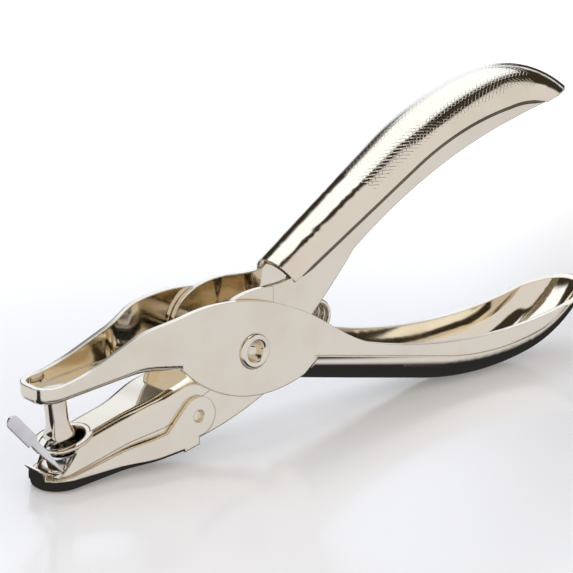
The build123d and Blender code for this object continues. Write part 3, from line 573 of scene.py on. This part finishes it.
def roll_under(material):
    """Turns the side walls' normals down below a line, where the sheet is rolled under. The
    rolled part is highest at the nose and runs out towards the ears."""
    tree = material.node_tree
    shader = tree.nodes["Principled BSDF"]
    flat = shader.inputs["Normal"].links[0].from_socket
    place = tree.nodes.new("ShaderNodeTexCoord")
    parts = tree.nodes.new("ShaderNodeSeparateXYZ")
    tree.links.new(place.outputs["Object"], parts.inputs[0])
    line = tree.nodes.new("ShaderNodeMapRange")
    line.inputs["From Min"].default_value = ROLL_RUN[0]
    line.inputs["From Max"].default_value = ROLL_RUN[1]
    line.inputs["To Min"].default_value = ROLL_RISE[0]
    line.inputs["To Max"].default_value = ROLL_RISE[1]
    tree.links.new(parts.outputs["X"], line.inputs["Value"])
    below = math_node(tree, "SUBTRACT", line.outputs["Result"], parts.outputs["Z"])
    turned = smooth_step(tree, below, 0.0, ROLL_SOFT, 0.0, ROLL_TURN)
    down = tree.nodes.new("ShaderNodeCombineXYZ")
    tree.links.new(math_node(tree, "MULTIPLY", turned, -1.0), down.inputs["Z"])
    total = tree.nodes.new("ShaderNodeVectorMath")
    tree.links.new(flat, total.inputs[0])
    tree.links.new(down.outputs["Vector"], total.inputs[1])
    unit = tree.nodes.new("ShaderNodeVectorMath")
    unit.operation = "NORMALIZE"
    tree.links.new(total.outputs["Vector"], unit.inputs[0])
    tree.links.new(unit.outputs["Vector"], shader.inputs["Normal"])


roll_under(tray_nickel)
dress("chip_tray", tray_nickel)

# Pivot sleeve: a cut length of plain steel tube on the rivet. It keeps the inner hub plates
# apart when the rivet's ends are rolled over.
bare_steel = plated(
    "bare_steel",
    clean=(0.70, 0.67, 0.62),
    dull=(0.60, 0.57, 0.52),
    polish=0.16,
    haze=0.12,
    wave=0.05,
)
dress("pivot_sleeve", bare_steel)

# Return spring: hard-drawn wire wound into a torsion coil behind the hub. One straight leg
# lies under each handle's back and presses the two apart.
spring_steel = plated(
    "bright_spring_wire",
    clean=(0.80, 0.73, 0.62),
    dull=(0.70, 0.63, 0.53),
    polish=0.10,
    haze=0.10,
    wave=0.03,
)
LOWER = -1
PUNCH_ROOT_HALF = 8.0e-3
WIRE = 1.2e-3
WIRE_BEVEL = 0.15
WIRE_SIDES = 20
COIL_RADIUS = 3.5e-3
COIL_HALF = 3.6e-3
COIL_TURNS = 4
COIL_STEPS = 260
COIL_CENTRE = np.array((20.4, 1.6)) * 1e-3
LEG_REACH = 33.0e-3
LEG_STEPS = 24
SHEET = 1.2e-3
SEAT_GAP = 0.25e-3


def leg_end(side, root_half):
    """Where a leg rests in the arch, a seat gap under the sheet's inner face, from the pivot.
    The arch is taken to be as narrow there as at its root."""
    radius = arch_radius(ROOT_START, root_half)
    depth = radius - math.sqrt((radius - SHEET) ** 2 - COIL_HALF**2) + WIRE / 2 + SEAT_GAP
    along = LEG_REACH + depth * math.sin(ROOT_ANGLE)
    away = ROOT_RISE + (LEG_REACH - ROOT_START) * math.tan(ROOT_ANGLE) - depth * math.cos(ROOT_ANGLE)
    return np.array((
        along * math.cos(BISECTOR) - side * away * math.sin(BISECTOR),
        along * math.sin(BISECTOR) + side * away * math.cos(BISECTOR),
    ))


def leaving(end, side):
    """Angle round the coil at which a straight leg to its end touches the coil."""
    run = end - COIL_CENTRE
    return math.atan2(run[1], run[0]) + side * math.acos(COIL_RADIUS / np.hypot(*run))


def wire_path():
    """A straight leg, a helix round the coil's axis and a second straight leg, as points."""
    lower_end = leg_end(LOWER, PUNCH_ROOT_HALF)
    upper_end = leg_end(UPPER, DIE_ROOT_HALF)
    first_angle = leaving(lower_end, LOWER) + 2 * math.pi
    final_angle = leaving(upper_end, UPPER) - 2 * math.pi * COIL_TURNS
    angle = np.linspace(first_angle, final_angle, COIL_STEPS)
    coil = np.stack((
        COIL_CENTRE[0] + COIL_RADIUS * np.cos(angle),
        np.linspace(-COIL_HALF, COIL_HALF, COIL_STEPS),
        COIL_CENTRE[1] + COIL_RADIUS * np.sin(angle),
    ), -1)
    share = np.linspace(0, 1, LEG_STEPS, endpoint=False)[:, None]
    first = np.array((lower_end[0], -COIL_HALF, lower_end[1]))
    final = np.array((upper_end[0], COIL_HALF, upper_end[1]))
    first_leg = first + (coil[0] - first) * share
    final_leg = final + (coil[-1] - final) * share[::-1]
    return np.concatenate((first_leg, coil, final_leg)) + PIVOT


def round_wire(name, path, radius, around, material):
    """A round section carried along a path, set square to the path by the coil's own axis.
    Each end has a small bevel and is closed by a flat."""
    heading = np.gradient(path, axis=0)
    heading /= np.linalg.norm(heading, axis=1, keepdims=True)
    axis = np.array((0.0, 1.0, 0.0))
    over = axis - heading * (heading @ axis)[:, None]
    over /= np.linalg.norm(over, axis=1, keepdims=True)
    side = np.cross(heading, over)
    angle = np.linspace(0, 2 * math.pi, around, endpoint=False)
    ring = np.cos(angle)[None, :, None] * over[:, None] + np.sin(angle)[None, :, None] * side[:, None]
    body = path[:, None] + radius * ring
    bevel = WIRE_BEVEL * radius
    tips = np.stack((path[0] - heading[0] * bevel, path[-1] + heading[-1] * bevel))
    caps = tips[:, None] + (radius - bevel) * ring[[0, -1]]
    rows = np.concatenate((caps[:1], body, caps[1:]))
    points = np.concatenate((rows.reshape(-1, 3), tips))
    quads = grid_faces(len(rows), around, wrap=True)
    here = np.arange(around)
    beside = (here + 1) % around
    last = (len(rows) - 1) * around
    first_tip = np.full(around, len(rows) * around)
    start = np.stack((beside, here, first_tip), -1)
    stop = np.stack((last + here, last + beside, first_tip + 1), -1)
    return new_piece(name, points, quads.tolist() + start.tolist() + stop.tolist(), material)


spring_path = wire_path()
spring = round_wire("coil_spring", spring_path, WIRE / 2, WIRE_SIDES, spring_steel)
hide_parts("return_spring")
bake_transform(spring)

# Punch lever: the upper jaw, the outer hub plates and the lower handle, folded from one
# sheet as the die lever is, with the same plating and the same knurl on its back.
dress("punch_lever", nickel)
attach(knurl("lower_knurl", LOWER, PUNCH_ROOT_HALF), "punch_lever")

# Punch pin: turned from tool steel, flared to its cutting edge, and peened over the floor
# of the upper jaw.
pin_steel = plated(
    "polished_tool_steel",
    clean=(0.78, 0.70, 0.57),
    dull=(0.70, 0.62, 0.50),
    polish=0.06,
    haze=0.08,
    wave=0.05,
)
dress("punch_pin", pin_steel)

# Pivot rivet: a nickel-plated steel rivet, put through both levers and the sleeve and then
# rolled over into a ring round an eye at each end.
rivet_steel = plated(
    "rolled_rivet",
    clean=(0.80, 0.71, 0.57),
    dull=(0.72, 0.63, 0.50),
    polish=0.07,
    haze=0.08,
    wave=0.05,
)
RIVET_SEAT = 8.0e-3
RIVET_SIDES = 96
RIVET_PROFILE = np.array((
    (0.5, -1.7), (0.9, -1.6), (1.4, -1.2), (1.7, -0.6), (1.95, 0.1), (2.12, 0.52), (2.4, 0.76),
    (2.72, 0.85), (3.05, 0.8), (3.36, 0.64), (3.58, 0.38), (3.68, 0.12), (3.7, 0.02), (2.5, 0.02),
)) * 1e-3


def turned_rivet(around):
    """A profile of radius and height turned about the pivot's axis, one ring for each of its
    points, and the same rings again at the other end. A flat closes the bottom of each eye."""
    radius = np.concatenate((RIVET_PROFILE[:, 0], RIVET_PROFILE[::-1, 0]))[:, None]
    height = np.concatenate((RIVET_SEAT + RIVET_PROFILE[:, 1], -RIVET_SEAT - RIVET_PROFILE[::-1, 1]))
    angle = np.linspace(0, 2 * math.pi, around, endpoint=False)
    level = np.repeat(height[:, None], around, axis=1)
    points = np.stack((radius * np.cos(angle), level, radius * np.sin(angle)), -1) + PIVOT
    quads = grid_faces(len(radius), around, wrap=True).tolist()
    last = (len(radius) - 1) * around
    ends = [list(range(around))[::-1], list(range(last, last + around))]
    return new_piece("turned_rivet", points, quads + ends, rivet_steel)


rivet = turned_rivet(RIVET_SIDES)
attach(rivet, "punch_lever")
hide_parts("pivot_rivet")

# Table: a polished white top with a soft shadow and a faint mirror image. For the camera it
# has a painted glow that grows away from the tool, so it is painted darker near the tool. In
# the metal it shows as a painted reflection: a painted highlight in a strip close beside the
# tool and where it is met at a slant, and painted shade under the tool.
TABLE_RADIUS = 1.4
TABLE_SIDES = 96
TABLE_DROP = 0.03e-3
PAINTED_GLOW_REACH = (0.06, 0.28)
PAINTED_GLOW_LIFT = (0.20, 0.60)
SLANTED = (0.30, 0.54)
PAINTED_LIGHT_STRIP = (0.0165, 0.0140)
PAINTED_SHADE_STRIP = (0.0095, 0.0125)
PAINTED_REFLECTION_COLOUR = (0.955, 0.995, 1.125)
PAINTED_REFLECTION_LIGHT = 0.83
PAINTED_REFLECTION_SHADE = 0.03
table_mesh = bpy.data.meshes.new("table")
around_table = np.linspace(0, 2 * math.pi, TABLE_SIDES, endpoint=False)
table_rim = np.stack((
    TABLE_RADIUS * np.cos(around_table),
    TABLE_RADIUS * np.sin(around_table),
    np.full(TABLE_SIDES, -TABLE_DROP),
), -1)
table_mesh.from_pydata(table_rim.tolist(), [], [list(range(TABLE_SIDES))])
table = bpy.data.objects.new("table", table_mesh)
bpy.context.scene.collection.objects.link(table)
table_top = bpy.data.materials.new("white_table")
table_top.use_nodes = True
top = table_top.node_tree
gloss = top.nodes["Principled BSDF"]
gloss.inputs["Base Color"].default_value = (0.88, 0.83, 0.77, 1.0)
gloss.inputs["Roughness"].default_value = 0.14
gloss.inputs["Specular IOR Level"].default_value = 0.35
gloss.inputs["Emission Color"].default_value = (1.0, 0.98, 0.93, 1.0)
gloss.inputs["Specular Tint"].default_value = (1.0, 0.91, 0.78, 1.0)
rays = top.nodes.new("ShaderNodeLightPath")
place = top.nodes.new("ShaderNodeTexCoord")
away = top.nodes.new("ShaderNodeVectorMath")
away.operation = "LENGTH"
top.links.new(place.outputs["Object"], away.inputs[0])
# Painted light: a glow that only the camera sees, weaker near the tool and stronger away from it.
painted_glow = smooth_step(top, away.outputs["Value"], *PAINTED_GLOW_REACH, *PAINTED_GLOW_LIFT)
lift = math_node(top, "MULTIPLY", rays.outputs["Is Camera Ray"], painted_glow)
top.links.new(lift, gloss.inputs["Emission Strength"])
# Painted reflection for glossy rays: a painted highlight beside the tool and at a slant, and painted
# shade under it.
spot = top.nodes.new("ShaderNodeSeparateXYZ")
top.links.new(place.outputs["Object"], spot.inputs[0])
off_axis = math_node(top, "ABSOLUTE", spot.outputs["Y"])
slant = top.nodes.new("ShaderNodeLayerWeight")
slant.inputs["Blend"].default_value = 0.5
grazed = smooth_step(top, slant.outputs["Facing"], *SLANTED)
beside_tool = smooth_step(top, off_axis, *PAINTED_LIGHT_STRIP)
clear_of_tool = smooth_step(top, off_axis, *PAINTED_SHADE_STRIP)
seen = math_node(top, "MAXIMUM", grazed, beside_tool)
open_table = math_node(top, "MULTIPLY", seen, clear_of_tool)
painted_sheen = math_node(top, "MULTIPLY_ADD", open_table, PAINTED_REFLECTION_LIGHT, PAINTED_REFLECTION_SHADE)
painted_reflection = top.nodes.new("ShaderNodeEmission")
painted_reflection.inputs["Color"].default_value = (*PAINTED_REFLECTION_COLOUR, 1.0)
top.links.new(painted_sheen, painted_reflection.inputs["Strength"])
both = top.nodes.new("ShaderNodeMixShader")
top.links.new(rays.outputs["Is Glossy Ray"], both.inputs["Fac"])
top.links.new(gloss.outputs["BSDF"], both.inputs[1])
top.links.new(painted_reflection.outputs["Emission"], both.inputs[2])
top.links.new(both.outputs["Shader"], top.nodes["Material Output"].inputs["Surface"])
table_mesh.materials.append(table_top)

# Studio: a wide softbox above and behind, with dimmer panels behind it, a pale wall on the
# camera's side, and black cloth round the rest, so that the metal has clear light and dark
# bands. The camera itself looks at a white backdrop.
SOFTBOX = (1.32, 1.45, 1.70)
SOFTBOX_SIDES = ((-0.75, -0.6), (1.35, 1.15))
SOFTBOX_FAR = (1.25, 1.05)
FRONT_START = -0.26
FRONT_SLOPE = 0.48
FRONT_SLOPE_FROM = 0.05
FRONT_CORNER = (-0.04, -0.2)
FRONT_CORNER_BACK = 0.18
SOFT_EDGE = 0.05
PANEL_SIDES = ((0.34, 0.52), (1.15, 0.95))
PANEL_NEAR = (0.9, 1.1)
PANEL_SHARE = 0.85
SPILL_DEPTH = ((0.95, 1.1), (1.55, 1.3))
SPILL_SIDE = (-0.5, 0.1)
SPILL_SHARE = 0.28
GLEAM_DEPTH = ((1.12, 1.22), (1.75, 1.55))
GLEAM_SIDE = (0.16, 0.36)
GLEAM_SHARE = 0.8
PALE_WALL = (0.86, 0.87, 0.94)
WALL_TOP = -0.30
WALL_DIP = ((-0.25, 0.15), (0.75, 0.25))
WALL_DIP_DEPTH = -0.50
BLACK_CLOTH = (0.045, 0.036, 0.024)
BACKDROP = (1.0, 1.0, 1.0)
LOWEST = 0.03
NEAREST = 0.05
world = bpy.data.worlds.new("studio")
bpy.context.scene.world = world
world.use_nodes = True
studio = world.node_tree
studio.nodes.clear()


def product(first, second):
    """Two fields of the studio multiplied, so that each trims or dims the other."""
    return math_node(studio, "MULTIPLY", first, second)


def between(value, rise, fall):
    """1 between the rise and the fall of a value, 0 outside them, and smooth at both."""
    return product(smooth_step(studio, value, *rise), smooth_step(studio, value, *fall))


def brighter(first, second):
    """The brighter of two fields of the studio."""
    return math_node(studio, "MAXIMUM", first, second)


direction = studio.nodes.new("ShaderNodeTexCoord")
split = studio.nodes.new("ShaderNodeSeparateXYZ")
studio.links.new(direction.outputs["Generated"], split.inputs[0])
height = math_node(studio, "MAXIMUM", split.outputs["Z"], LOWEST)
sideways = math_node(studio, "DIVIDE", split.outputs["X"], height)
depth = math_node(studio, "DIVIDE", split.outputs["Y"], height)
sloped = math_node(studio, "MAXIMUM", sideways, FRONT_SLOPE_FROM)
box_front = math_node(studio, "MULTIPLY_ADD", sloped, FRONT_SLOPE, FRONT_START)
corner = smooth_step(studio, sideways, *FRONT_CORNER)
box_front = math_node(studio, "MULTIPLY_ADD", corner, FRONT_CORNER_BACK, box_front)
past_front = math_node(studio, "SUBTRACT", depth, box_front)
softbox = between(sideways, *SOFTBOX_SIDES)
softbox = product(softbox, smooth_step(studio, past_front, -SOFT_EDGE, SOFT_EDGE))
softbox = product(softbox, smooth_step(studio, depth, *SOFTBOX_FAR))
distance = math_node(studio, "MAXIMUM", split.outputs["Y"], NEAREST)
aside = math_node(studio, "DIVIDE", split.outputs["X"], distance)
panel = product(between(aside, *PANEL_SIDES), smooth_step(studio, depth, *PANEL_NEAR))
spill = product(between(depth, *SPILL_DEPTH), smooth_step(studio, sideways, *SPILL_SIDE))
gleam = product(between(depth, *GLEAM_DEPTH), smooth_step(studio, aside, *GLEAM_SIDE))
softbox = brighter(softbox, product(panel, PANEL_SHARE))
softbox = brighter(softbox, product(spill, SPILL_SHARE))
softbox = brighter(softbox, product(gleam, GLEAM_SHARE))
dip = between(sideways, *WALL_DIP)
wall_top = math_node(studio, "MULTIPLY_ADD", dip, WALL_DIP_DEPTH, WALL_TOP)
past_wall = math_node(studio, "SUBTRACT", depth, wall_top)
wall = smooth_step(studio, past_wall, SOFT_EDGE, -SOFT_EDGE)
shade = colour_mix(studio, wall, BLACK_CLOTH, PALE_WALL)
lit = colour_mix(studio, softbox, shade, SOFTBOX)
rays = studio.nodes.new("ShaderNodeLightPath")
backdrop = colour_mix(studio, rays.outputs["Is Camera Ray"], lit, BACKDROP)
glow = studio.nodes.new("ShaderNodeBackground")
studio.links.new(backdrop, glow.inputs["Color"])
out = studio.nodes.new("ShaderNodeOutputWorld")
studio.links.new(glow.outputs["Background"], out.inputs["Surface"])

# Camera: a long lens a little above the table, towards the jaws' side, so near that the tool
# fills the frame.
CAMERA_PLACE = (-0.281408, -0.325989, 0.150451)
CAMERA_TURN = (math.radians(74.0), 0.0, math.radians(-40.0))
lens = bpy.data.cameras.new("camera")
lens.sensor_width = 36.0
lens.lens = 137.78
lens.clip_start = 0.01
camera = bpy.data.objects.new("camera", lens)
camera.location = CAMERA_PLACE
camera.rotation_euler = CAMERA_TURN
bpy.context.scene.collection.objects.link(camera)
bpy.context.scene.camera = camera
bpy.context.scene.view_settings.view_transform = "Standard"
